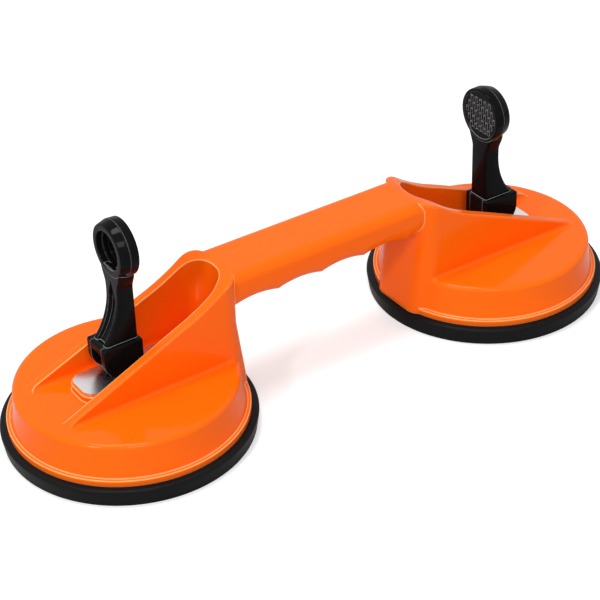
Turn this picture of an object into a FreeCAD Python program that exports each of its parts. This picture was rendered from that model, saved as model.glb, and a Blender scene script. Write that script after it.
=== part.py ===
"""Twin-cup suction lifter: one moulded housing with a finger-waved handle joins two rubber
suction pads. Over each pad a toggle lever hangs on a pin in the eye of a steel stem. Folded
outward, the lever rolls on a steel plate and pulls the stem, and with it the middle of the
pad, upward.

Millimetres, +X along the handle, +Z up, z = 0 on the pads' feet, the origin midway between
the cups. "out" is a distance outward from a cup's own axis, away from the handle."""
import FreeCAD, Part
import math
import os
import Sketcher
from FreeCAD import Vector

doc = FreeCAD.newDocument("SuctionLifter")
sheet = doc.addObject("Spreadsheet::Sheet", "Sizes")


class Size:
    """A size with its value and the sheet expression it comes from, so that sums and
    differences of sizes stay bound to the sheet."""

    def __init__(self, value, text):
        self.value = float(value)
        self.text = text

    def __add__(self, other):
        other = as_size(other)
        return Size(self.value + other.value, "(" + self.text + " + " + other.text + ")")

    def __sub__(self, other):
        other = as_size(other)
        return Size(self.value - other.value, "(" + self.text + " - " + other.text + ")")

    def __mul__(self, other):
        other = as_size(other)
        return Size(self.value * other.value, "(" + self.text + " * " + other.text + ")")

    def __truediv__(self, other):
        other = as_size(other)
        return Size(self.value / other.value, "(" + self.text + " / " + other.text + ")")

    def __neg__(self):
        return Size(-self.value, "(0 - " + self.text + ")")

    __radd__ = __add__
    __rmul__ = __mul__


def as_size(number):
    """A plain number as a Size; a Size is given back as it is."""
    return number if isinstance(number, Size) else Size(number, repr(float(number)))


def size(alias, value):
    """A driving dimension: one row of the sheet, with its name and its alias."""
    size.row += 1
    sheet.set("A" + str(size.row), alias)
    sheet.set("B" + str(size.row), str(value))
    sheet.setAlias("B" + str(size.row), alias)
    return Size(value, "Sizes." + alias)


size.row = 0

# --- Driving dimensions ------------------------------------------------------------------
cup_offset = size("cup_offset", 104.7)            # middle of the handle to a cup's axis

cup_radius = size("cup_radius", 54.8)             # outside of a cup's wall at its foot
wall_draft = size("wall_draft", 2.3)              # how much narrower the wall is at its top
flange_width = size("flange_width", 1.8)          # housing's rim on the rubber
flange_height = size("flange_height", 3.2)
cup_top = size("cup_top", 28.0)                   # flat top of each cup
cup_edge_round = size("cup_edge_round", 2.4)
wall_sweep_radius = size("wall_sweep_radius", 62.0)
wall = size("wall", 3.0)                          # moulded wall
rim_wall = size("rim_wall", 1.5)                  # and where it stands on the rubber
inner_corner = size("inner_corner", 3.0)

pad_overhang = size("pad_overhang", 3.7)          # rubber pad beyond the housing's rim
pad_draft = size("pad_draft", 1.3)                # how much narrower it is where it stands
pad_edge_round = size("pad_edge_round", 1.3)
pad_rim_height = size("pad_rim_height", 8.9)      # the flange rests on this face
pad_rim_width = size("pad_rim_width", 9.7)
pad_step = size("pad_step", 3.0)                  # slope from the rim and from the boss
pad_web_top = size("pad_web_top", 6.4)            # top of the thin web inside the housing
pad_hollow = size("pad_hollow", 2.2)              # how far the middle stands off the floor
pad_lip_width = size("pad_lip_width", 4.5)        # the sealing lip that touches the floor
pad_lip_height = size("pad_lip_height", 1.1)
pad_lip_slope = size("pad_lip_slope", 8.2)
pad_boss_radius = size("pad_boss_radius", 20.0)   # rubber boss round the insert
pad_boss_top = size("pad_boss_top", 13.0)
pad_mouth_radius = size("pad_mouth_radius", 10.0)

insert_radius = size("insert_radius", 16.0)       # steel disc moulded into the boss
insert_thickness = size("insert_thickness", 3.0)
insert_bottom = size("insert_bottom", 8.0)
soft_gap = size("soft_gap", 0.3)                  # between pieces that move apart

ridge_base_half = size("ridge_base_half", 19.8)   # ridge at its outer end
ridge_root_half = size("ridge_root_half", 19.0)   # ridge at its inner end, the leg
ridge_setback = size("ridge_setback", 11.6)       # its low end, inside the cup's top edge
leg_stand = size("leg_stand", 0.1)                # leg's face beyond the cup's top edge
leg_spread = size("leg_spread", 0.4)              # its foot beyond the flange
leg_corner = size("leg_corner", 9.0)
leg_flare_top = size("leg_flare_top", 45.0)       # height where the leg starts to spread
leg_back = size("leg_back", 30.0)                 # inward, back of the spreading foot
crest_low = size("crest_low", 30.6)               # crest height above the nose
crest_knee_in = size("crest_knee_in", 20.0)       # inward, where the crest starts to sweep up
crest_knee = size("crest_knee", 55.0)
crest_shoulder_back = size("crest_shoulder_back", 11.6)
crest_shoulder = size("crest_shoulder", 65.9)
crest_run_out = size("crest_run_out", 0.8)        # crest's end beyond the leg's face
crest_sweep_radius = size("crest_sweep_radius", 98.0)
crest_shoulder_radius = size("crest_shoulder_radius", 20.8)
nose_radius = size("nose_radius", 6.0)            # round of the low end
nose_reach = size("nose_reach", 3.6)

land_outer = size("land_outer", 4.0)              # width of a ridge wall's top at the nose
land_inner = size("land_inner", 5.0)              # and at the scoop
scoop_wall = size("scoop_wall", 3.1)              # between the scoop's end and the leg's face
scoop_round = size("scoop_round", 13.0)
trough_fillet = size("trough_fillet", 2.5)
ridge_fillet = size("ridge_fillet", 1.8)
crest_fillet = size("crest_fillet", 0.8)

grip_top = size("grip_top", 70.0)                 # handle
grip_half_width = size("grip_half_width", 15.8)
grip_cusp = size("grip_cusp", 50.7)               # height of the points between fingers
grip_start = size("grip_start", 76.9)             # first point, left of the middle
finger_pitch = size("finger_pitch", 24.4)
finger_radius = size("finger_radius", 42.2)
grip_under = size("grip_under", 0.3)              # depth of the bar below the points
grip_top_round = size("grip_top_round", 5.0)
grip_under_round = size("grip_under_round", 9.0)
grip_hold = size("grip_hold", 8.6)                # how far the bar runs into a leg
finger_count = 6
finger_depth = 2.0

pedestal_length = size("pedestal_length", 51.0)   # raised seat of the steel plate
pedestal_width = size("pedestal_width", 21.0)
pedestal_height = size("pedestal_height", 3.0)
pedestal_corner = size("pedestal_corner", 7.0)
plate_length = size("plate_length", 49.0)
plate_width = size("plate_width", 19.0)
plate_thickness = size("plate_thickness", 1.5)
plate_corner = size("plate_corner", 6.0)

stem_radius = size("stem_radius", 3.5)
stem_slide_gap = size("stem_slide_gap", 0.4)
stem_collar_radius = size("stem_collar_radius", 4.9)
stem_collar_height = size("stem_collar_height", 1.5)
stem_tail_radius = size("stem_tail_radius", 2.5)
eye_radius = size("eye_radius", 3.4)
eye_width = size("eye_width", 8.9)
eye_drop = size("eye_drop", 8.0)                  # the eye's flat cheeks below the pin

pin_radius = size("pin_radius", 1.75)
pin_running_gap = size("pin_running_gap", 0.05)
pin_recess = size("pin_recess", 0.2)              # pin ends below the block's sides

lever_gap = size("lever_gap", 1.2)                # released block above the plate
block_bottom = size("block_bottom", 9.0)          # below the pin
block_top = size("block_top", 8.8)                # above the pin
block_inner = size("block_inner", 6.0)            # inward of the pin
block_outer = size("block_outer", 14.0)           # outward of the pin
block_width = size("block_width", 16.5)
cam_radius = size("cam_radius", 10.5)             # rolling corner of the block
lever_edge = size("lever_edge", 0.8)              # round of the block's and neck's edges
slot_width = size("slot_width", 9.5)
slot_inner = size("slot_inner", 3.9)
slot_top = size("slot_top", 5.0)
slot_corner = size("slot_corner", 2.5)
neck_width = size("neck_width", 12.0)
neck_inner = size("neck_inner", 4.8)
neck_foot = size("neck_foot", 12.6)               # outward reach of the neck on the block
neck_waist = size("neck_waist", 3.4)              # outward reach of the neck at its waist
neck_waist_height = size("neck_waist_height", 33.0)
neck_sweep_radius = size("neck_sweep_radius", 36.4)
channel_width = size("channel_width", 5.4)
channel_depth = size("channel_depth", 1.8)
head_height = size("head_height", 54.2)           # above the pin
head_inner = size("head_inner", 5.3)
head_outer = size("head_outer", 3.7)
head_part_radius = size("head_part_radius", 13.9)
head_inner_radius = size("head_inner_radius", 13.6)
head_outer_radius = size("head_outer_radius", 12.4)
head_edge = size("head_edge", 0.5)
dish_radius = size("dish_radius", 9.4)
dish_depth = size("dish_depth", 5.5)
thumb_radius = size("thumb_radius", 12.2)
thumb_depth = size("thumb_depth", 0.5)

spring_radius = size("spring_radius", 6.6)        # mean radius of the coils
spring_wire = size("spring_wire", 0.7)            # wire radius
spring_turns = size("spring_turns", 4.5)
guide_radius = size("guide_radius", 11.0)         # collar inside the housing round the spring
guide_bore = size("guide_bore", 8.3)
guide_height = size("guide_height", 3.0)

clear = size("cut_clearance", 8.0)                # how far a cut reaches past the solid

# --- Sizes that follow from them -----------------------------------------------------------
flange_radius = cup_radius + flange_width
wall_top_radius = cup_radius - wall_draft
pad_edge_radius = flange_radius + pad_overhang
pad_foot_radius = pad_edge_radius - pad_draft
ridge_nose = wall_top_radius - ridge_setback
leg_root = wall_top_radius + leg_stand
leg_foot = flange_radius + leg_spread
crest_shoulder_in = leg_root - crest_shoulder_back
crest_end_in = leg_root + crest_run_out
scoop_root = leg_root - scoop_wall
grip_bar_in = leg_root - grip_hold
plate_bottom = cup_top + pedestal_height
plate_top = plate_bottom + plate_thickness
pin_height = plate_top + lever_gap + block_bottom
insert_top = insert_bottom + insert_thickness
housing_ceiling = cup_top - wall
flange_top = pad_rim_height + flange_height


# --- Drawing helpers -----------------------------------------------------------------------
def at(side, out):
    """X of a point a distance out from the axis of the cup on one side (-1 left, +1 right)."""
    return (cup_offset + out) * side


def new_body(label):
    """An empty PartDesign body; its Label names its STEP file."""
    body = doc.addObject("PartDesign::Body", label)
    body.Label = label
    return body


def new_sketch(body, label, role, shift):
    """A sketch on one of the body's origin planes, shifted by three sizes in its own axes."""
    sketch = body.newObject("Sketcher::SketchObject", label)
    plane = [f for f in body.Origin.OriginFeatures if f.Role == role][0]
    sketch.AttachmentSupport = [(plane, "")]
    sketch.MapMode = "FlatFace"
    for axis, amount in zip("xyz", shift):
        amount = as_size(amount)
        if amount.value:
            sketch.setExpression("AttachmentOffset.Base." + axis, amount.text)
    return sketch


def pin_vertex(sketch, edge, end, point):
    """Fix one end of an edge to a point given as two sizes."""
    for kind, axis, amount in (("DistanceX", -2, point[0]), ("DistanceY", -1, point[1])):
        amount = as_size(amount)
        if amount.value == 0:
            sketch.addConstraint(Sketcher.Constraint("PointOnObject", edge, end, axis))
            continue
        row = sketch.addConstraint(Sketcher.Constraint(kind, -1, 1, edge, end, amount.value))
        sketch.setExpression("Constraints[" + str(row) + "]", amount.text)


def outline(body, label, role, points, shift=(0, 0, 0)):
    """A closed outline. Each point is (x, y), reached by a straight line from the one before,
    or (x, y, radius, turn), reached by an arc that turns left (+1) or right (-1)."""
    sketch = new_sketch(body, label, role, shift)
    ends = []
    for index, point in enumerate(points):
        before = points[index - 1]
        a = Vector(as_size(before[0]).value, as_size(before[1]).value, 0)
        b = Vector(as_size(point[0]).value, as_size(point[1]).value, 0)
        if len(point) == 2:
            edge = sketch.addGeometry(Part.LineSegment(a, b))
            ends.append((edge, 1, 2))
            continue
        radius, turn = as_size(point[2]), point[3]
        chord = b - a
        left = Vector(-chord.y, chord.x, 0).normalize()
        rise = math.sqrt(max(radius.value ** 2 - (chord.Length / 2) ** 2, 0.0))
        centre = (a + b) * 0.5 + left * (rise * turn)
        first, last = (a, b) if turn > 0 else (b, a)
        start = math.atan2(first.y - centre.y, first.x - centre.x)
        stop = math.atan2(last.y - centre.y, last.x - centre.x)
        circle = Part.Circle(centre, Vector(0, 0, 1), radius.value)
        edge = sketch.addGeometry(Part.ArcOfCircle(circle, start, stop))
        ends.append((edge, 1, 2) if turn > 0 else (edge, 2, 1))
        row = sketch.addConstraint(Sketcher.Constraint("Radius", edge, radius.value))
        sketch.setExpression("Constraints[" + str(row) + "]", radius.text)
    for index, point in enumerate(points):
        edge, _, tail = ends[index]
        following, head, _ = ends[(index + 1) % len(points)]
        sketch.addConstraint(Sketcher.Constraint("Coincident", edge, tail, following, head))
        pin_vertex(sketch, edge, tail, point)
    return sketch


def circle(body, label, role, centre, radius, shift=(0, 0, 0)):
    """A sketch of one circle."""
    sketch = new_sketch(body, label, role, shift)
    middle = Vector(as_size(centre[0]).value, as_size(centre[1]).value, 0)
    edge = sketch.addGeometry(Part.Circle(middle, Vector(0, 0, 1), as_size(radius).value))
    pin_vertex(sketch, edge, 3, centre)
    row = sketch.addConstraint(Sketcher.Constraint("Radius", edge, as_size(radius).value))
    sketch.setExpression("Constraints[" + str(row) + "]", as_size(radius).text)
    return sketch


def rounded(x0, x1, half, corner):
    """Points of a rectangle with round corners, from x0 to x1 and half each side of y = 0."""
    return [(x0 + corner, -half, corner, 1), (x1 - corner, -half), (x1, -half + corner, corner, 1),
            (x1, half - corner), (x1 - corner, half, corner, 1), (x0 + corner, half),
            (x0, half - corner, corner, 1), (x0, -half + corner)]


def extrude(body, label, sketch, length, cut=False, middle=False, flip=False):
    """A Pad, or a Pocket if it cuts, of a sketch."""
    kind = "PartDesign::Pocket" if cut else "PartDesign::Pad"
    feature = body.newObject(kind, label)
    feature.Profile = sketch
    feature.setExpression("Length", as_size(length).text)
    feature.SideType = "Symmetric" if middle else "One side"
    feature.Reversed = flip
    body.Tip = feature
    return feature


def turn(body, label, sketch, axis="V_Axis", cut=False):
    """A full Revolution, or a Groove if it cuts, of a sketch about one of its own axes."""
    kind = "PartDesign::Groove" if cut else "PartDesign::Revolution"
    feature = body.newObject(kind, label)
    feature.Profile = sketch
    feature.ReferenceAxis = (sketch, [axis])
    feature.Angle = 360.0
    body.Tip = feature
    return feature


def soften(body, label, radius, wanted):
    """A Fillet on those edges of the body's last feature whose middle point is wanted."""
    doc.recompute()
    before = body.Tip
    names = []
    for index, edge in enumerate(before.Shape.Edges):
        if wanted(edge.valueAt((edge.FirstParameter + edge.LastParameter) / 2)):
            names.append("Edge" + str(index + 1))
    feature = body.newObject("PartDesign::Fillet", label)
    feature.Base = (before, names)
    feature.setExpression("Radius", radius.text)
    body.Tip = feature
    return feature


# --- Housing: handle, two ridges and two cups in one moulding --------------------------------
def build_housing():
    """The orange moulding. The handle bar comes first, then each ridge with its trough,
    then each cup, hollowed from below."""
    body = new_body("housing")
    half, under, end = grip_half_width, grip_cusp - grip_under, cup_offset - grip_bar_in
    section = [(-half, under), (half, under), (half, grip_top - grip_top_round),
               (half - grip_top_round, grip_top, grip_top_round, 1),
               (-half + grip_top_round, grip_top),
               (-half, grip_top - grip_top_round, grip_top_round, 1)]
    bar = outline(body, "grip_section", "YZ_Plane", section)
    extrude(body, "grip_bar", bar, end * 2, middle=True)

    waves = [(-grip_start, grip_cusp - clear), (-grip_start, grip_cusp)]
    for finger in range(1, finger_count + 1):
        waves.append((-grip_start + finger_pitch * finger, grip_cusp, finger_radius, -1))
    waves.append((-grip_start + finger_pitch * finger_count, grip_cusp - clear))
    grooves = outline(body, "finger_waves", "XZ_Plane", waves)
    extrude(body, "finger_grooves", grooves, half * 2 + clear, cut=True, middle=True)
    soften(body, "finger_rounds", grip_under_round,
           lambda p: abs(abs(p.y) - half.value) < 0.01 and abs(p.x) < end.value - 0.01
           and p.z < grip_cusp.value + finger_depth)

    for name, side in (("left", -1), ("right", 1)):
        add_ridge(body, name, side)
    for name, side in (("left", -1), ("right", 1)):
        add_cup(body, name, side)

    def on_crest(p):
        """Whether a point is on the outer edge of a ridge's sloping crest."""
        return (abs(p.y) > ridge_root_half.value - 0.1 and p.z > crest_low.value - 1
                and cup_offset.value - abs(p.x) < leg_root.value - leg_corner.value - 1)

    soften(body, "crest_edges", crest_fillet, on_crest)
    return body


def ridge_plan(side, nose, nose_half, root, root_half, corner):
    """Plan of a ridge, its foot or its trough: sides that run inward from the nose to an end
    face at the root, with a round corner at each side of it."""
    return [(at(side, nose), nose_half * side), (at(side, nose), -nose_half * side),
            (at(side, -root + corner), -root_half * side),
            (at(side, -root), (corner - root_half) * side, corner, -1),
            (at(side, -root), (root_half - corner) * side),
            (at(side, -root + corner), root_half * side, corner, -1)]


def add_ridge(body, name, side):
    """A ridge runs from the cup's outer side up to the handle and down the inner side as a
    leg with a spreading foot. A trough splits it into two walls that meet in a round scoop."""
    plan = outline(body, name + "_ridge_plan", "XY_Plane",
                   ridge_plan(side, ridge_nose, ridge_base_half, leg_root, ridge_root_half,
                              leg_corner), (0, 0, pad_rim_height))
    extrude(body, name + "_ridge", plan, grip_top - pad_rim_height)

    foot = outline(body, name + "_leg_foot", "XY_Plane",
                   ridge_plan(side, -leg_back, ridge_root_half, leg_foot, ridge_root_half,
                              leg_corner), (0, 0, pad_rim_height))
    ankle = outline(body, name + "_leg_ankle", "XY_Plane",
                    ridge_plan(side, -leg_back, ridge_root_half, leg_root, ridge_root_half,
                               leg_corner), (0, 0, leg_flare_top))
    leg = body.newObject("PartDesign::AdditiveLoft", name + "_leg")
    leg.Profile = foot
    leg.Sections = [ankle]
    leg.Ruled = True
    body.Tip = leg

    above, beyond = grip_top + clear, ridge_nose + clear
    crest = outline(body, name + "_crest_line", "XZ_Plane",
                    [(at(side, beyond), above), (at(side, beyond), cup_top),
                     (at(side, ridge_nose), cup_top),
                     (at(side, ridge_nose - nose_reach), crest_low, nose_radius, side),
                     (at(side, -crest_knee_in), crest_knee),
                     (at(side, -crest_shoulder_in), crest_shoulder, crest_sweep_radius, -side),
                     (at(side, -crest_end_in), grip_top, crest_shoulder_radius, side),
                     (at(side, -crest_end_in), above)])
    extrude(body, name + "_crest", crest, ridge_base_half * 2 + clear, cut=True, middle=True)

    trough = outline(body, name + "_trough_plan", "XY_Plane",
                     ridge_plan(side, beyond, ridge_base_half - land_outer, scoop_root,
                                ridge_root_half - land_inner, scoop_round), (0, 0, above))
    extrude(body, name + "_trough", trough, above - cup_top, cut=True)


def add_cup(body, name, side):
    """A shallow round cup under each ridge: flange, drafted wall, flat top, the seat of the
    steel plate, a guide collar for the spring and the stem's bore."""
    axis = (at(side, 0), 0, 0)
    profile = outline(body, name + "_cup_profile", "XZ_Plane",
                      [(0, pad_rim_height), (flange_radius, pad_rim_height),
                       (flange_radius, flange_top), (cup_radius, flange_top),
                       (wall_top_radius, cup_top - cup_edge_round, wall_sweep_radius, -1),
                       (wall_top_radius - cup_edge_round, cup_top, cup_edge_round, 1),
                       (0, cup_top)], axis)
    turn(body, name + "_cup", profile)

    seat = outline(body, name + "_seat_plan", "XY_Plane",
                   rounded(at(side, 0) - pedestal_length / 2, at(side, 0) + pedestal_length / 2,
                           pedestal_width / 2, pedestal_corner), (0, 0, cup_top))
    extrude(body, name + "_seat", seat, pedestal_height)

    def by_trough(p):
        """Whether a point is where a trough's wall meets the cup's top."""
        inward = cup_offset.value - p.x * side
        return (abs(p.z - cup_top.value) < 0.01 and abs(inward) < cup_radius.value
                and abs(p.y) < ridge_root_half.value - 2
                and (abs(p.y) > pedestal_width.value / 2 + 1
                     or inward > scoop_root.value - scoop_round.value))

    def by_ridge(p):
        """Whether a point is where a ridge's outer side meets the cup's top."""
        return (abs(p.z - cup_top.value) < 0.01 and p.x * side > 0
                and ridge_root_half.value - 2 < abs(p.y) < ridge_base_half.value + 1)

    soften(body, name + "_trough_floor", trough_fillet, by_trough)
    soften(body, name + "_ridge_foot", ridge_fillet, by_ridge)

    foot, shoulder = cup_radius - rim_wall, wall_top_radius - wall
    hollow = outline(body, name + "_hollow_profile", "XZ_Plane",
                     [(0, pad_rim_height - clear), (foot, pad_rim_height - clear),
                      (foot, pad_rim_height), (shoulder, housing_ceiling - inner_corner),
                      (shoulder - inner_corner, housing_ceiling, inner_corner, 1),
                      (guide_radius, housing_ceiling),
                      (guide_radius, housing_ceiling - guide_height),
                      (guide_bore, housing_ceiling - guide_height),
                      (guide_bore, housing_ceiling), (0, housing_ceiling)], axis)
    turn(body, name + "_hollow", hollow, cut=True)

    bore = circle(body, name + "_bore_circle", "XY_Plane", (at(side, 0), 0),
                  stem_radius + stem_slide_gap, (0, 0, plate_bottom + clear))
    extrude(body, name + "_bore", bore, plate_bottom - housing_ceiling + clear * 2, cut=True)


# --- Rubber pad --------------------------------------------------------------------------------
def build_pad(name, side):
    """A moulded rubber disc: a sealing lip on the floor, a shallow hollow inside it, a thick
    rim that carries the housing, and a boss that grips the steel insert."""
    body = new_body("rubber_pad_" + name)
    rim = pad_edge_radius - pad_rim_width
    bed = insert_bottom - soft_gap
    lid = insert_top + soft_gap
    pocket = insert_radius + soft_gap
    lip = pad_foot_radius - pad_lip_width
    profile = outline(body, "pad_profile_" + name, "XZ_Plane",
                      [(0, pad_hollow), (lip - pad_lip_slope, pad_hollow),
                       (lip, pad_lip_height), (lip, 0), (pad_foot_radius, 0),
                       (pad_edge_radius, pad_rim_height - pad_edge_round),
                       (pad_edge_radius - pad_edge_round, pad_rim_height, pad_edge_round, 1),
                       (rim, pad_rim_height), (rim - pad_step, pad_web_top),
                       (pad_boss_radius + pad_step, pad_web_top),
                       (pad_boss_radius, pad_web_top + pad_step, pad_step, -1),
                       (pad_boss_radius, pad_boss_top), (pad_mouth_radius, pad_boss_top),
                       (pad_mouth_radius, lid), (pocket, lid), (pocket, bed), (0, bed)],
                      (at(side, 0), 0, 0))
    turn(body, "pad_" + name, profile)
    return body


# --- Steel insert --------------------------------------------------------------------------------
def build_insert(name, side):
    """A round steel disc in the pad's boss, with a hole that the stem's tail is riveted in."""
    body = new_body("pad_insert_" + name)
    profile = outline(body, "insert_profile_" + name, "XZ_Plane",
                      [(stem_tail_radius, insert_bottom), (insert_radius, insert_bottom),
                       (insert_radius, insert_top), (stem_tail_radius, insert_top)],
                      (at(side, 0), 0, 0))
    turn(body, "insert_" + name, profile)
    return body


# --- Stem ----------------------------------------------------------------------------------------
def build_stem(name, side):
    """A turned steel stem: a tail through the insert, a collar on top of it, a shank through
    the housing and the plate, and a flat-cheeked eye for the lever's pin."""
    body = new_body("stem_" + name)
    neck_end = pin_height - eye_drop + eye_radius
    profile = outline(body, "stem_profile_" + name, "XZ_Plane",
                      [(0, insert_bottom), (stem_tail_radius, insert_bottom),
                       (stem_tail_radius, insert_top), (stem_collar_radius, insert_top),
                       (stem_collar_radius, insert_top + stem_collar_height),
                       (stem_radius, insert_top + stem_collar_height),
                       (stem_radius, neck_end), (0, neck_end)], (at(side, 0), 0, 0))
    turn(body, "shank_" + name, profile)
    eye = outline(body, "eye_outline_" + name, "XZ_Plane",
                  [(-eye_radius, -eye_drop), (eye_radius, -eye_drop), (eye_radius, 0),
                   (0, eye_radius, eye_radius, 1), (-eye_radius, 0, eye_radius, 1)],
                  (at(side, 0), pin_height, 0))
    extrude(body, "eye_" + name, eye, eye_width, middle=True)
    bore = circle(body, "eye_bore_" + name, "XZ_Plane", (0, 0), pin_radius + pin_running_gap,
                  (at(side, 0), pin_height, 0))
    extrude(body, "eye_hole_" + name, bore, eye_width + clear, cut=True, middle=True)
    return body


# --- Pivot pin -----------------------------------------------------------------------------------
def build_pin(name, side):
    """A plain steel pin, pressed into the lever's block and turning in the stem's eye."""
    pin = doc.addObject("Part::Cylinder", "pivot_pin_" + name)
    pin.Label = "pivot_pin_" + name
    length = block_width - pin_recess * 2
    pin.setExpression("Radius", pin_radius.text)
    pin.setExpression("Height", length.text)
    pin.Placement = FreeCAD.Placement(Vector(0, 0, 0), FreeCAD.Rotation(Vector(1, 0, 0), 90))
    pin.setExpression("Placement.Base.x", at(side, 0).text)
    pin.setExpression("Placement.Base.y", (length / 2).text)
    pin.setExpression("Placement.Base.z", pin_height.text)
    return pin


# --- Lever ---------------------------------------------------------------------------------------
def build_lever(name, side):
    """A moulded toggle lever: a slotted cam block round the stem's eye, a channelled neck and
    a round head with a dish outside and a sunk thumb pad inside."""
    body = new_body("lever_" + name)
    place = (at(side, 0), pin_height, 0)

    def out(amount):
        """Sketch X of a distance outward from the pin."""
        return as_size(amount) * side

    flat_end = block_outer - cam_radius
    block = outline(body, "block_outline_" + name, "XZ_Plane",
                    [(out(-block_inner), block_top), (out(-block_inner), -block_bottom),
                     (out(flat_end), -block_bottom),
                     (out(block_outer), cam_radius - block_bottom, cam_radius, side),
                     (out(block_outer), block_top)], place)
    extrude(body, "block_" + name, block, block_width, middle=True)
    bottom = pin_height.value - block_bottom.value
    soften(body, "block_edges_" + name, lever_edge, lambda p: p.z > bottom + 1)

    neck = outline(body, "neck_outline_" + name, "XZ_Plane",
                   [(out(-neck_inner), head_height), (out(-neck_inner), 0),
                    (out(neck_foot), 0), (out(neck_foot), block_top),
                    (out(neck_waist), neck_waist_height, neck_sweep_radius, -side),
                    (out(neck_waist), head_height)], place)
    extrude(body, "neck_" + name, neck, neck_width, middle=True)
    shoulder = pin_height.value + block_top.value
    soften(body, "neck_edges_" + name, lever_edge,
           lambda p: abs(abs(p.y) - neck_width.value / 2) < 0.01 and p.z > shoulder + 1)

    head = outline(body, "head_profile_" + name, "XZ_Plane",
                   [(out(-head_inner), 0), (out(-head_inner), head_inner_radius - head_edge),
                    (out(-head_inner + head_edge), head_inner_radius),
                    (out((head_outer - head_inner) / 2), head_part_radius),
                    (out(head_outer - head_edge), head_outer_radius),
                    (out(head_outer), head_outer_radius - head_edge), (out(head_outer), 0)],
                   (at(side, 0), pin_height + head_height, 0))
    turn(body, "head_" + name, head, "H_Axis")

    dish = outline(body, "dish_profile_" + name, "XZ_Plane",
                   [(out(head_outer - dish_depth), 0), (out(head_outer - dish_depth), dish_radius),
                    (out(head_outer + clear), dish_radius), (out(head_outer + clear), 0)],
                   (at(side, 0), pin_height + head_height, 0))
    turn(body, "dish_" + name, dish, "H_Axis", cut=True)
    thumb = outline(body, "thumb_profile_" + name, "XZ_Plane",
                    [(out(-head_inner - clear), 0), (out(-head_inner - clear), thumb_radius),
                     (out(-head_inner + thumb_depth), thumb_radius),
                     (out(-head_inner + thumb_depth), 0)],
                    (at(side, 0), pin_height + head_height, 0))
    turn(body, "thumb_pad_" + name, thumb, "H_Axis", cut=True)

    channel = outline(body, "channel_outline_" + name, "XZ_Plane",
                      [(out(block_outer + clear), neck_waist_height),
                       (out(block_outer + clear), block_top),
                       (out(neck_foot - channel_depth), block_top),
                       (out(neck_waist - channel_depth), neck_waist_height,
                        neck_sweep_radius, -side)], place)
    extrude(body, "channel_" + name, channel, channel_width, cut=True, middle=True)

    slot = outline(body, "slot_outline_" + name, "XZ_Plane",
                   [(out(-slot_inner), -block_bottom - clear),
                    (out(block_outer + clear), -block_bottom - clear),
                    (out(block_outer + clear), slot_top), (out(-slot_inner + slot_corner), slot_top),
                    (out(-slot_inner), slot_top - slot_corner, slot_corner, side)], place)
    extrude(body, "slot_" + name, slot, slot_width, cut=True, middle=True)

    bore = circle(body, "lever_bore_" + name, "XZ_Plane", (0, 0), pin_radius, place)
    extrude(body, "lever_hole_" + name, bore, block_width + clear, cut=True, middle=True)
    return body


# --- Cam plate -----------------------------------------------------------------------------------
def build_plate(name, side):
    """A bright steel plate on the housing's seat, for the lever's cam to roll on."""
    body = new_body("cam_plate_" + name)
    plan = outline(body, "plate_plan_" + name, "XY_Plane",
                   rounded(at(side, 0) - plate_length / 2, at(side, 0) + plate_length / 2,
                           plate_width / 2, plate_corner), (0, 0, plate_bottom))
    extrude(body, "plate_" + name, plan, plate_thickness)
    bore = circle(body, "plate_bore_" + name, "XY_Plane", (at(side, 0), 0),
                  stem_radius + stem_slide_gap, (0, 0, plate_top))
    extrude(body, "plate_hole_" + name, bore, plate_thickness + clear, cut=True)
    return body


# --- Release spring ------------------------------------------------------------------------------
def build_spring(name, side):
    """A coil spring round the stem, between the insert and the housing, that pushes the pad's
    middle back down when the lever is lifted."""
    body = new_body("release_spring_" + name)
    foot = insert_top + soft_gap + spring_wire
    wire = circle(body, "wire_" + name, "XZ_Plane", (spring_radius, foot), spring_wire,
                  (at(side, 0), 0, 0))
    coil = body.newObject("PartDesign::AdditiveHelix", "coil_" + name)
    coil.Profile = wire
    coil.ReferenceAxis = (wire, ["V_Axis"])
    coil.Mode = "height-turns-angle"
    coil.setExpression("Height", (housing_ceiling - spring_wire - foot).text)
    coil.setExpression("Turns", spring_turns.text)
    body.Tip = coil
    return body


doc.recompute()
nodes = [build_housing()]
for side_name, side_sign in (("left", -1), ("right", 1)):
    nodes.append(build_pad(side_name, side_sign))
    nodes.append(build_insert(side_name, side_sign))
    nodes.append(build_stem(side_name, side_sign))
    nodes.append(build_pin(side_name, side_sign))
    nodes.append(build_lever(side_name, side_sign))
    nodes.append(build_plate(side_name, side_sign))
    nodes.append(build_spring(side_name, side_sign))
doc.recompute()

# --- Checks and files ----------------------------------------------------------------------------
least_cut = 0.1  # cubic millimetres
for item in doc.Objects:
    if "Invalid" in item.State or "Error" in item.State:
        raise RuntimeError(item.Name + " failed: " + str(item.State))
    if item.TypeId in ("PartDesign::Pocket", "PartDesign::Groove"):
        if item.Shape.Volume >= item.BaseFeature.Shape.Volume - least_cut:
            raise RuntimeError(item.Label + " took nothing off")
for node in nodes:
    if node.Shape.isNull() or not node.Shape.isValid():
        raise RuntimeError(node.Label + " has no valid shape")
os.makedirs("parts", exist_ok=True)
for node in nodes:
    node.Shape.exportStep("parts/" + node.Label + ".step")
    box = node.Shape.BoundBox
    print(node.Label, "solids", len(node.Shape.Solids), "volume", round(node.Shape.Volume),
          "x", round(box.XMin, 2), round(box.XMax, 2), "y", round(box.YMin, 2),
          round(box.YMax, 2), "z", round(box.ZMin, 2), round(box.ZMax, 2))
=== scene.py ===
"""Looks of a twin-cup suction lifter, dressed over its CAD part. Lengths are in millimetres
until a mesh is made, where MM turns them into metres."""

import math

import bmesh
import bpy
import numpy as np
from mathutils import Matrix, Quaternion, Vector


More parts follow.
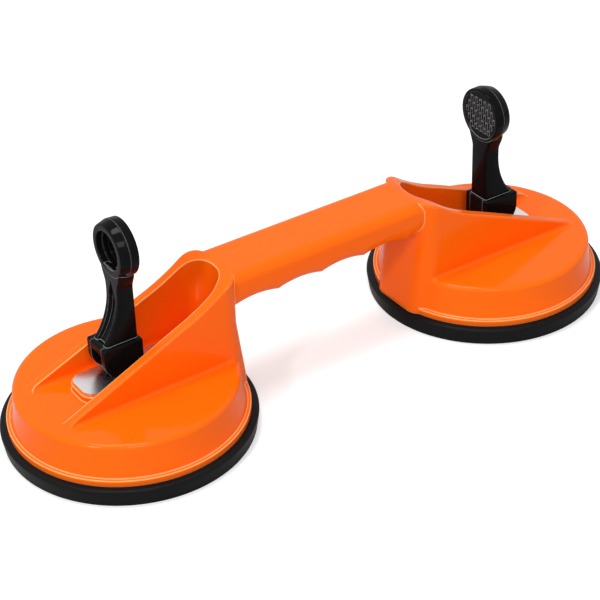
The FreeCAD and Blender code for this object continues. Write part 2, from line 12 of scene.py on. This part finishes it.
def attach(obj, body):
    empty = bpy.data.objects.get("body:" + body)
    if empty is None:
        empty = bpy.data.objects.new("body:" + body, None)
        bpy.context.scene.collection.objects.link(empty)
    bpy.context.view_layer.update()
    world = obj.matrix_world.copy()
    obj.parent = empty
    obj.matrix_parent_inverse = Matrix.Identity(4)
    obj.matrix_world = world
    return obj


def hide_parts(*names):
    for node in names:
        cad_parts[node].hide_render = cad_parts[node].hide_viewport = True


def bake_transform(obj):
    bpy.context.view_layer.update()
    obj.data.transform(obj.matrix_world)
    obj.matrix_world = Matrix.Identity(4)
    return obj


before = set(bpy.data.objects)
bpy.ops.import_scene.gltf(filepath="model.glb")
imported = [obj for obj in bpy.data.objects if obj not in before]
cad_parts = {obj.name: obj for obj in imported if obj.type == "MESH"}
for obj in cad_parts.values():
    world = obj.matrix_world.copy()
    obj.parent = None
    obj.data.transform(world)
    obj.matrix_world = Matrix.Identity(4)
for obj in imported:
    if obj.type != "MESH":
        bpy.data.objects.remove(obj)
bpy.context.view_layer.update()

# === Housing =====================================================================================
# One injection moulding in bright orange ABS: two round cups, a pair of ridges up each, and the
# finger-waved handle between them. The polished mould leaves a hard gloss with a very faint
# ripple over the wide faces.
def drifting_finish(name, dark, light, patch, rough, bump, bump_size, edge=0.0, edge_highlight=None):
    """A shader whose colour goes from dark to light, and its roughness over the pair rough, as
    smooth noise of scale patch rises from low to high. A second noise, with bumps about
    bump_size metres wide, lifts the surface by bump metres. With an edge, edges are rounded over
    that many metres, and where the rounded normal leans from the surface's own, the colour
    nears edge_highlight, a painted highlight along convex and concave edges alike: not at all up
    to 8 degrees, and fully from 23."""
    material = bpy.data.materials.new(name)
    material.use_nodes = True
    nodes, links = material.node_tree.nodes, material.node_tree.links
    shader = nodes["Principled BSDF"]
    place = nodes.new("ShaderNodeTexCoord")
    drift = nodes.new("ShaderNodeTexNoise")
    drift.inputs["Scale"].default_value = patch
    drift.inputs["Detail"].default_value = 3.0
    links.new(place.outputs["Object"], drift.inputs["Vector"])
    colour = nodes.new("ShaderNodeMix")
    colour.data_type = "RGBA"
    colour.inputs["A"].default_value = (*dark, 1.0)
    colour.inputs["B"].default_value = (*light, 1.0)
    links.new(drift.outputs["Fac"], colour.inputs["Factor"])
    links.new(colour.outputs["Result"], shader.inputs["Base Color"])
    gloss = nodes.new("ShaderNodeMapRange")
    gloss.inputs["To Min"].default_value = rough[0]
    gloss.inputs["To Max"].default_value = rough[1]
    links.new(drift.outputs["Fac"], gloss.inputs["Value"])
    links.new(gloss.outputs["Result"], shader.inputs["Roughness"])
    grain = nodes.new("ShaderNodeTexNoise")
    grain.inputs["Scale"].default_value = 1.0 / bump_size
    grain.inputs["Detail"].default_value = 2.0
    links.new(place.outputs["Object"], grain.inputs["Vector"])
    lift = nodes.new("ShaderNodeBump")
    lift.inputs["Strength"].default_value = 1.0
    lift.inputs["Distance"].default_value = bump
    links.new(grain.outputs["Fac"], lift.inputs["Height"])
    links.new(lift.outputs["Normal"], shader.inputs["Normal"])
    if edge:
        turned = nodes.new("ShaderNodeBevel")
        turned.samples = 8
        turned.inputs["Radius"].default_value = edge
        links.new(turned.outputs["Normal"], lift.inputs["Normal"])
        own = nodes.new("ShaderNodeNewGeometry")
        lean = nodes.new("ShaderNodeVectorMath")
        lean.operation = "DOT_PRODUCT"
        links.new(turned.outputs["Normal"], lean.inputs[0])
        links.new(own.outputs["Normal"], lean.inputs[1])
        share = nodes.new("ShaderNodeMapRange")
        least_lean, full_lean = 0.99, 0.92
        share.inputs["From Min"].default_value = least_lean
        share.inputs["From Max"].default_value = full_lean
        links.new(lean.outputs["Value"], share.inputs["Value"])
        # Painted highlight: the edge colour is mixed in where the rounded normal leans from the
        # surface's own.
        painted_edge_highlight = nodes.new("ShaderNodeMix")
        painted_edge_highlight.data_type = "RGBA"
        painted_edge_highlight.inputs["B"].default_value = (*edge_highlight, 1.0)
        links.new(share.outputs["Result"], painted_edge_highlight.inputs["Factor"])
        links.new(colour.outputs["Result"], painted_edge_highlight.inputs["A"])
        links.new(painted_edge_highlight.outputs["Result"], shader.inputs["Base Color"])
    return material, shader


# The housing's edges are painted a pale orange: a painted highlight, not wear.
orange, orange_shader = drifting_finish(
    "orange_abs", dark=(0.95, 0.122, 0.002), light=(1.0, 0.148, 0.003), patch=14.0,
    rough=(0.10, 0.16), bump=0.00008, bump_size=0.03, edge=0.0013, edge_highlight=(1.0, 0.45, 0.16))
orange_shader.inputs["IOR"].default_value = 1.5
orange_shader.inputs["Specular IOR Level"].default_value = 0.1


def dress(node, material):
    """Gives a CAD node its material."""
    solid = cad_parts[node]
    solid.data.materials.clear()
    solid.data.materials.append(material)


dress("housing", orange)

# === Levers ======================================================================================
# Two toggle levers in glossy black nylon, each with a cam block slotted round the stem's eye, a
# channelled neck, and a head with a dish outside and a ridged thumb pad inside. Each turns on a
# pin pressed through its block.
MM = 0.001
cup_x = 104.7          # from the middle of the lifter to a cup's axis
pin_z, head_z = 42.7, 96.9
block_in, block_out = -6.0, 14.0      # the block's back and front, out from the pin
block_low, block_top = -9.0, 8.8      # its foot and roof, up from the pin
cam_round = 10.4
block_half, slot_half, block_edge = 8.25, 4.75, 0.8
slot_back, slot_roof = -3.9, 5.0
pad_face, bar_face, dish_rim = -4.8, -5.5, 3.7      # faces of the head, out from the pin

# The levers' edges are painted grey: a painted highlight, not wear.
black, black_shader = drifting_finish(
    "black_nylon", dark=(0.003, 0.003, 0.0035), light=(0.005, 0.005, 0.0055), patch=60.0,
    rough=(0.09, 0.13), bump=0.00001, bump_size=0.003, edge=0.0004, edge_highlight=(0.24, 0.24, 0.24))
black_shader.inputs["IOR"].default_value = 1.5
black_shader.inputs["Specular IOR Level"].default_value = 0.05


def rounded_path(corners, steps=6):
    """Points along straight runs between corners (x, y, radius). Each corner is an arc of its
    radius that touches both runs: it starts and ends at radius * tan(turn / 2) from the corner."""
    path = []
    for i, (x, y, radius) in enumerate(corners):
        here = np.array((x, y))
        if radius == 0:
            path.append(here[None])
            continue
        back = np.array(corners[i - 1][:2]) - here
        on = np.array(corners[(i + 1) % len(corners)][:2]) - here
        back, on = back / np.linalg.norm(back), on / np.linalg.norm(on)
        half = math.acos(np.clip(back @ on, -1, 1)) / 2
        bisector = (back + on) / np.linalg.norm(back + on)
        centre = here + bisector * radius / math.sin(half)
        a = here + back * radius / math.tan(half) - centre
        b = here + on * radius / math.tan(half) - centre
        share = np.linspace(0, 1, steps + 1)[:, None]
        spread = math.acos(np.clip(a @ b / radius ** 2, -1, 1))
        path.append(centre + (a * np.sin((1 - share) * spread)
                              + b * np.sin(share * spread)) / math.sin(spread))
    return np.concatenate(path)


def skin(rings, capped=True):
    """A tube over rings of points, shaped (rings, points, 3). Each point joins the next on its
    ring, the last joins the first, and each ring joins the next. Capped closes both ends."""
    rows, columns = rings.shape[:2]
    row = np.arange(rows - 1)[:, None]
    here = np.arange(columns)[None, :]
    after = (here + 1) % columns
    cells = np.stack([row * columns + here, row * columns + after,
                      (row + 1) * columns + after, (row + 1) * columns + here], -1)
    faces = cells.reshape(-1, 4).tolist()
    if capped:
        faces.append(list(range(columns)))
        faces.append(list(range((rows - 1) * columns, rows * columns)))
    return rings.reshape(-1, 3), faces


def lathe(profile, centre, axis, count=96):
    """A tube whose ring for each profile point (along, radius) is a circle of that radius round
    the x axis (0) or the z axis (2) through a centre."""
    t = np.linspace(0, 2 * math.pi, count + 1)[:-1]
    along = np.repeat(profile[:, :1], count, axis=1)
    across, up = np.outer(profile[:, 1], np.cos(t)), np.outer(profile[:, 1], np.sin(t))
    parts = (along, across, up) if axis == 0 else (across, up, along)
    return skin(np.stack(parts, -1) + np.array(centre), capped=False)


def make_piece(name, shells, material, sign=1):
    """One mesh in metres from shells, each of points in millimetres and faces. Sign -1 turns it
    half round the upright axis. Doubles merge, faces point outwards, and edges that turn by
    more than the smooth angle stay sharp."""
    smooth_angle, merge_distance = math.radians(35.0), 0.002 * MM
    points, faces, count = [], [], 0
    for shell_points, shell_faces in shells:
        points.append(shell_points)
        faces += [[count + i for i in face] for face in shell_faces]
        count += len(shell_points)
    places = np.concatenate(points) * (sign, sign, 1) * MM
    mesh = bpy.data.meshes.new(name)
    mesh.from_pydata(places.tolist(), [], faces)
    work = bmesh.new()
    work.from_mesh(mesh)
    bmesh.ops.remove_doubles(work, verts=work.verts, dist=merge_distance)
    bmesh.ops.recalc_face_normals(work, faces=work.faces)
    work.to_mesh(mesh)
    work.free()
    mesh.materials.append(material)
    mesh.polygons.foreach_set("use_smooth", np.ones(len(mesh.polygons), dtype=bool))
    mesh.set_sharp_from_angle(angle=smooth_angle)
    mesh.update()
    piece = bpy.data.objects.new(name, mesh)
    bpy.context.scene.collection.objects.link(piece)
    return piece


def ease(share):
    """A share held between 0 and 1 and eased at both ends: 3 s^2 - 2 s^3."""
    s = np.clip(share, 0, 1)
    return s * s * (3 - 2 * s)


def carried(outline, stations):
    """Rings of an outline (out, up) at stations (y, inset). Each ring's points move inward, to
    the left of the outline's direction, by the station's inset."""
    run = np.roll(outline, -1, axis=0) - np.roll(outline, 1, axis=0)
    run /= np.linalg.norm(run, axis=1)[:, None]
    inward = np.stack([-run[:, 1], run[:, 0]], -1)
    rings = []
    for y, inset in stations:
        ring = outline + inward * inset
        rings.append(np.stack([ring[:, 0], np.full(len(ring), y), ring[:, 1]], -1))
    return np.array(rings)


def neck_rings():
    """Sections of the neck from inside the block to inside the head. Its outer face follows a
    circle: the centre less the root of radius^2 - (height from the centre)^2, and goes straight
    up above the centre. A channel that starts as a point under the head sinks into that face,
    with eased walls. The neck spreads with ease where it meets the head."""
    up = np.linspace(8.0, 46.0, 77)[:, None]
    radius, centre_out, centre_up = 36.4, 39.72, 31.97
    waist, spread, spread_from, spread_run = 6.0, 2.7, 35.0, 9.0
    channel_half, channel_depth, channel_top, channel_run = 2.9, 1.8, 39.5, 12.0
    channel_wall, wall_start, point_shape = 0.9, 0.15, 0.6
    bend, inner = 1.3, -4.9
    rise = np.clip(up, block_top, centre_up) - centre_up
    face = centre_out - np.sqrt(np.maximum(radius ** 2 - rise ** 2, 0))
    half = waist + spread * ease((up - spread_from) / spread_run)
    share = np.linspace(-1, 1, 41)[None, :]
    y = share * (half - bend)
    gap = channel_half * ease((channel_top - up) / channel_run) ** point_shape
    inside = ease((gap - np.abs(y)) / channel_wall + wall_start)
    sunk = channel_depth * inside * (up < channel_top)
    angle = np.linspace(0, math.pi / 2, 6)[None, 1:]
    out_corner = (face - bend + bend * np.cos(angle), half - bend + bend * np.sin(angle))
    in_corner = (inner + bend - bend * np.sin(angle) + 0 * up, half - bend + bend * np.cos(angle))
    out = np.concatenate([face - sunk, out_corner[0], in_corner[0], in_corner[0][:, ::-1],
                          out_corner[0][:, ::-1]], 1)
    side = np.concatenate([y, out_corner[1], in_corner[1], -in_corner[1][:, ::-1],
                           -out_corner[1][:, ::-1]], 1)
    return np.stack([out + cup_x, side, np.repeat(up + pin_z, out.shape[1], axis=1)], -1)


def thumb_ridges():
    """Rows of short upright bars, each row shifted by half a pitch from the next, inside the
    round of the thumb pad. A bar is a box whose face is smaller than its foot."""
    bar_pitch, row_pitch, barred_radius = 3.3, 3.6, 12.0
    reach_y, reach_z = 0.7, 1.4
    foot_out, foot_half = -4.7, (0.95, 1.45)
    face_half = (0.25, 1.0)
    rows, columns = np.meshgrid(np.arange(-3, 4), np.arange(-4, 5), indexing="ij")
    y = (columns + 0.5 * (rows % 2)) * bar_pitch
    z = rows * row_pitch
    kept = np.hypot(np.abs(y) + reach_y, np.abs(z) + reach_z) < barred_radius
    y, z = y[kept][:, None], z[kept][:, None]
    corner_y, corner_z = np.array([-1, 1, 1, -1]), np.array([-1, -1, 1, 1])

    def ends(out, half):
        """The four corners of every bar at one depth."""
        return np.stack([np.full((len(y), 4), out), y + corner_y * half[0],
                         z + corner_z * half[1]], -1)

    points = np.concatenate([ends(foot_out, foot_half), ends(bar_face, face_half)], 1)
    points = points + (cup_x, 0, head_z)
    box = np.array([[4, 5, 6, 7], [0, 1, 5, 4], [1, 2, 6, 5], [2, 3, 7, 6], [3, 0, 4, 7],
                    [3, 2, 1, 0]])
    faces = (np.arange(len(y))[:, None, None] * 8 + box).reshape(-1, 4)
    return points.reshape(-1, 3), faces.tolist()


# The block: two cheeks beside the slot, whose outer edges are quarter rounds, and a bridge with
# the back wall and the roof between them. The outlines (out, up) start from the pin.
cheek_outline = rounded_path([
    (block_in, block_top, 1), (block_in, block_low, 0.9), (block_out, block_low, cam_round),
    (block_out, block_top, 1)], 10)
bridge_outline = rounded_path([
    (block_in, block_top, 1), (block_in, block_low, 0.9), (slot_back, block_low, 0.3),
    (slot_back, slot_roof, 2.5), (block_out, slot_roof, 0.3), (block_out, block_top, 1)], 8)
quarter = np.linspace(0, math.pi / 2, 6)
cheek_stations = [(slot_half, 0.0)] + [
    (block_half - block_edge + block_edge * math.sin(t), block_edge * (1 - math.cos(t)))
    for t in quarter]
bridge_half = slot_half + 0.25
pin_place = (cup_x, 0, pin_z)
block = [skin(carried(cheek_outline, cheek_stations) + pin_place),
         skin(carried(cheek_outline, [(-y, inset) for y, inset in cheek_stations]) + pin_place),
         skin(carried(bridge_outline, [(-bridge_half, 0.0), (bridge_half, 0.0)]) + pin_place)]

# The head, turned round its own axis from the pad's middle to the dish's: (out, radius, round).
# The pad's rim stands proud of its face, and a fine groove runs round the edge.
head_profile = rounded_path([
    (pad_face, 0, 0), (pad_face, 12.1, 0.15), (-5.3, 12.3, 0.2), (-5.3, 13.6, 0.6),
    (-1.2, 13.8, 0.2), (-0.9, 13.55, 0.1), (-0.6, 13.8, 0.2), (dish_rim, 12.5, 0.6),
    (dish_rim, 9.4, 0.3), (0.9, 9.1, 0.2), (0.9, 8.5, 0.2), (-1.8, 8.3, 0.5), (-1.8, 0, 0)], 4)
head = lathe(head_profile, (cup_x, 0, head_z), 0)

for side, sign in (("left", -1), ("right", 1)):
    lever = make_piece("toggle_lever_" + side, block + [skin(neck_rings()), head, thumb_ridges()],
                       black, sign)
    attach(lever, side + "_lever")
    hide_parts("lever_" + side)

# === Steel parts =================================================================================
# Zinc-plated plates that the cams roll on, turned stems, their pins, and the discs moulded into
# the pads.
plate_steel, plate_shader = drifting_finish(
    "zinc_plate", dark=(0.62, 0.62, 0.64), light=(0.78, 0.78, 0.79), patch=90.0,
    rough=(0.2, 0.34), bump=0.00002, bump_size=0.001)
plate_shader.inputs["Metallic"].default_value = 1.0

for side in ("left", "right"):
    dress("cam_plate_" + side, plate_steel)
    for piece in ("stem_", "pivot_pin_", "pad_insert_"):
        dress(piece + side, plate_steel)

# === Rubber pads =================================================================================
# Black moulded rubber discs under the cups. Each has a sealing lip on the floor and a boss in
# the middle that grips the steel disc.
# The pads' edges are painted a lighter grey: a painted highlight, not wear.
rubber, rubber_shader = drifting_finish(
    "black_rubber", dark=(0.005, 0.005, 0.0055), light=(0.009, 0.009, 0.0095), patch=40.0,
    rough=(0.34, 0.44), bump=0.00003, bump_size=0.0012, edge=0.0006, edge_highlight=(0.10, 0.10, 0.10))
rubber_shader.inputs["IOR"].default_value = 1.5
rubber_shader.inputs["Specular IOR Level"].default_value = 0.06

# The pad's section (radius, up, round), from the middle of its foot out to the lip, up the
# band, in over the cup's seat, up the boss and into the pocket of the steel disc.
lip_in, lip_out, band_radius, band_top = 54.6, 58.9, 60.3, 8.9
dish_z, web_top, boss_top = 2.2, 6.4, 13
mouth, disc_radius, disc_low, disc_top = 10, 16.3, 7.7, 11.3
pad_profile = rounded_path([
    (0, dish_z, 0), (46.3, dish_z, 3), (54.5, 1.1, 0.5), (lip_in, 0, 0.3), (lip_out, 0, 0.8),
    (band_radius, band_top, 1.3), (51.0, band_top, 0.5), (47.6, web_top, 2), (22, web_top, 3),
    (20, boss_top, 0.6), (mouth, boss_top, 0.4), (mouth, disc_top, 0.2),
    (disc_radius, disc_top, 0.2), (disc_radius, disc_low, 0.2), (0, disc_low, 0)])

for side, sign in (("left", -1), ("right", 1)):
    pad = make_piece("pad_rubber_" + side,
                     [lathe(pad_profile[:, ::-1], (cup_x, 0, 0), 2, count=180)], rubber, sign)
    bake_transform(pad)
    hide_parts("rubber_pad_" + side)

# === Release springs =============================================================================
# A coil of zinc-plated wire stands on each disc, inside the cup, and pushes the middle of the
# pad down again.
coil_radius, wire_radius, turns, coil_foot, coil_top = 6.6, 0.7, 4.5, 12.0, 24.3


def coil():
    """A round wire along a helix: the path turns round the stem as it climbs, and each ring of
    the wire lies across it, spanned by the outward direction and the one at right angles."""
    steps_a_turn = 48
    share = np.linspace(0, 1, int(turns * steps_a_turn) + 1)
    phi = 2 * math.pi * turns * share
    climb = coil_top - coil_foot
    outward = np.stack([np.cos(phi), np.sin(phi), np.zeros_like(phi)], -1)
    path = outward * coil_radius + np.stack([0 * phi, 0 * phi, coil_foot + climb * share], -1)
    ahead = np.stack([-np.sin(phi) * coil_radius, np.cos(phi) * coil_radius,
                      np.full_like(phi, climb / (2 * math.pi * turns))], -1)
    ahead /= np.linalg.norm(ahead, axis=1)[:, None]
    across = np.cross(ahead, outward)
    round_wire = np.linspace(0, 2 * math.pi, 13)[:-1]
    ring = (outward[:, None] * np.cos(round_wire)[None, :, None]
            + across[:, None] * np.sin(round_wire)[None, :, None]) * wire_radius
    return path[:, None] + ring + (cup_x, 0, 0)


for side, sign in (("left", -1), ("right", 1)):
    spring = make_piece("release_coil_" + side, [skin(coil())], plate_steel, sign)
    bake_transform(spring)
    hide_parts("release_spring_" + side)

# === Camera ======================================================================================
# A long lens that looks down on the lifter from in front of its left cup, so that the handle
# runs away to the upper right.
aim = Vector((0.0179, 0.0405, 0.0))
distance = 0.9613
azimuth, elevation, roll = math.radians(-33.1), math.radians(33.4), math.radians(-2.0)
back = Vector((math.sin(azimuth) * math.cos(elevation),
               -math.cos(azimuth) * math.cos(elevation), math.sin(elevation)))
eye = bpy.data.cameras.new("eye")
eye.lens = 113.0
eye.sensor_width = 36.0
camera = bpy.data.objects.new("camera", eye)
bpy.context.scene.collection.objects.link(camera)
camera.rotation_mode = "QUATERNION"
camera.location = aim + back * distance
camera.rotation_quaternion = (-back).to_track_quat("-Z", "Y") @ Quaternion((0, 0, 1), roll)
bpy.context.scene.camera = camera

# === Floor and light =============================================================================
# A plain pale floor in a white surround, with a wide soft lamp overhead, another in front, and
# a small one at the left that glints in the gloss.
bpy.context.scene.view_settings.view_transform = "Standard"


def lamp(name, place, size, power):
    """A square soft lamp that faces the middle of the lifter."""
    light = bpy.data.lights.new(name, "AREA")
    light.size = size
    light.energy = power
    lamp_object = bpy.data.objects.new(name, light)
    lamp_object.location = place
    lamp_object.rotation_mode = "QUATERNION"
    lamp_object.rotation_quaternion = Vector(place).to_track_quat("Z", "Y")
    bpy.context.scene.collection.objects.link(lamp_object)


lamp("overhead", (-0.2, 0.1, 1.5), 0.5, 12.5)
lamp("front", (-0.6, -1.35, 1.25), 0.6, 9.5)
lamp("glint", (-1.3, -0.55, 0.9), 0.15, 6.5)

world = bpy.data.worlds.new("surround")
bpy.context.scene.world = world
world.use_nodes = True
sky = world.node_tree.nodes["Background"]
seen = world.node_tree.nodes.new("ShaderNodeLightPath")
shown = seen.outputs["Is Camera Ray"]
for ray in ("Is Transmission Ray", "Is Glossy Ray"):
    either = world.node_tree.nodes.new("ShaderNodeMath")
    either.operation = "MAXIMUM"
    world.node_tree.links.new(shown, either.inputs[0])
    world.node_tree.links.new(seen.outputs[ray], either.inputs[1])
    shown = either.outputs[0]
soft_fill, white_surround = 0.42, 1.0
level = world.node_tree.nodes.new("ShaderNodeMapRange")
level.inputs["To Min"].default_value = soft_fill
level.inputs["To Max"].default_value = white_surround
world.node_tree.links.new(shown, level.inputs["Value"])
world.node_tree.links.new(level.outputs["Result"], sky.inputs["Strength"])
sky.inputs["Color"].default_value = (1, 1, 1, 1)

floor_material = bpy.data.materials.new("pale_floor")
floor_material.use_nodes = True
tree = floor_material.node_tree
matt = tree.nodes["Principled BSDF"]
matt.inputs["Base Color"].default_value = (0.7, 0.7, 0.7, 1)
matt.inputs["Roughness"].default_value = 0.9
matt.inputs["Specular IOR Level"].default_value = 0.0
path = tree.nodes.new("ShaderNodeLightPath")
matt.inputs["Emission Color"].default_value = (1, 1, 1, 1)
glow = tree.nodes.new("ShaderNodeMath")
glow.operation = "MULTIPLY"
lift_to_white = 0.45
glow.inputs[1].default_value = lift_to_white
tree.links.new(path.outputs["Is Camera Ray"], glow.inputs[0])
tree.links.new(glow.outputs[0], matt.inputs["Emission Strength"])
half_floor, floor_drop = 8000.0, 0.1
corners = np.array([(-1, -1, 0), (1, -1, 0), (1, 1, 0), (-1, 1, 0)]) * half_floor
floor = make_piece("floor", [(corners - (0, 0, floor_drop), [[0, 1, 2, 3]])], floor_material)
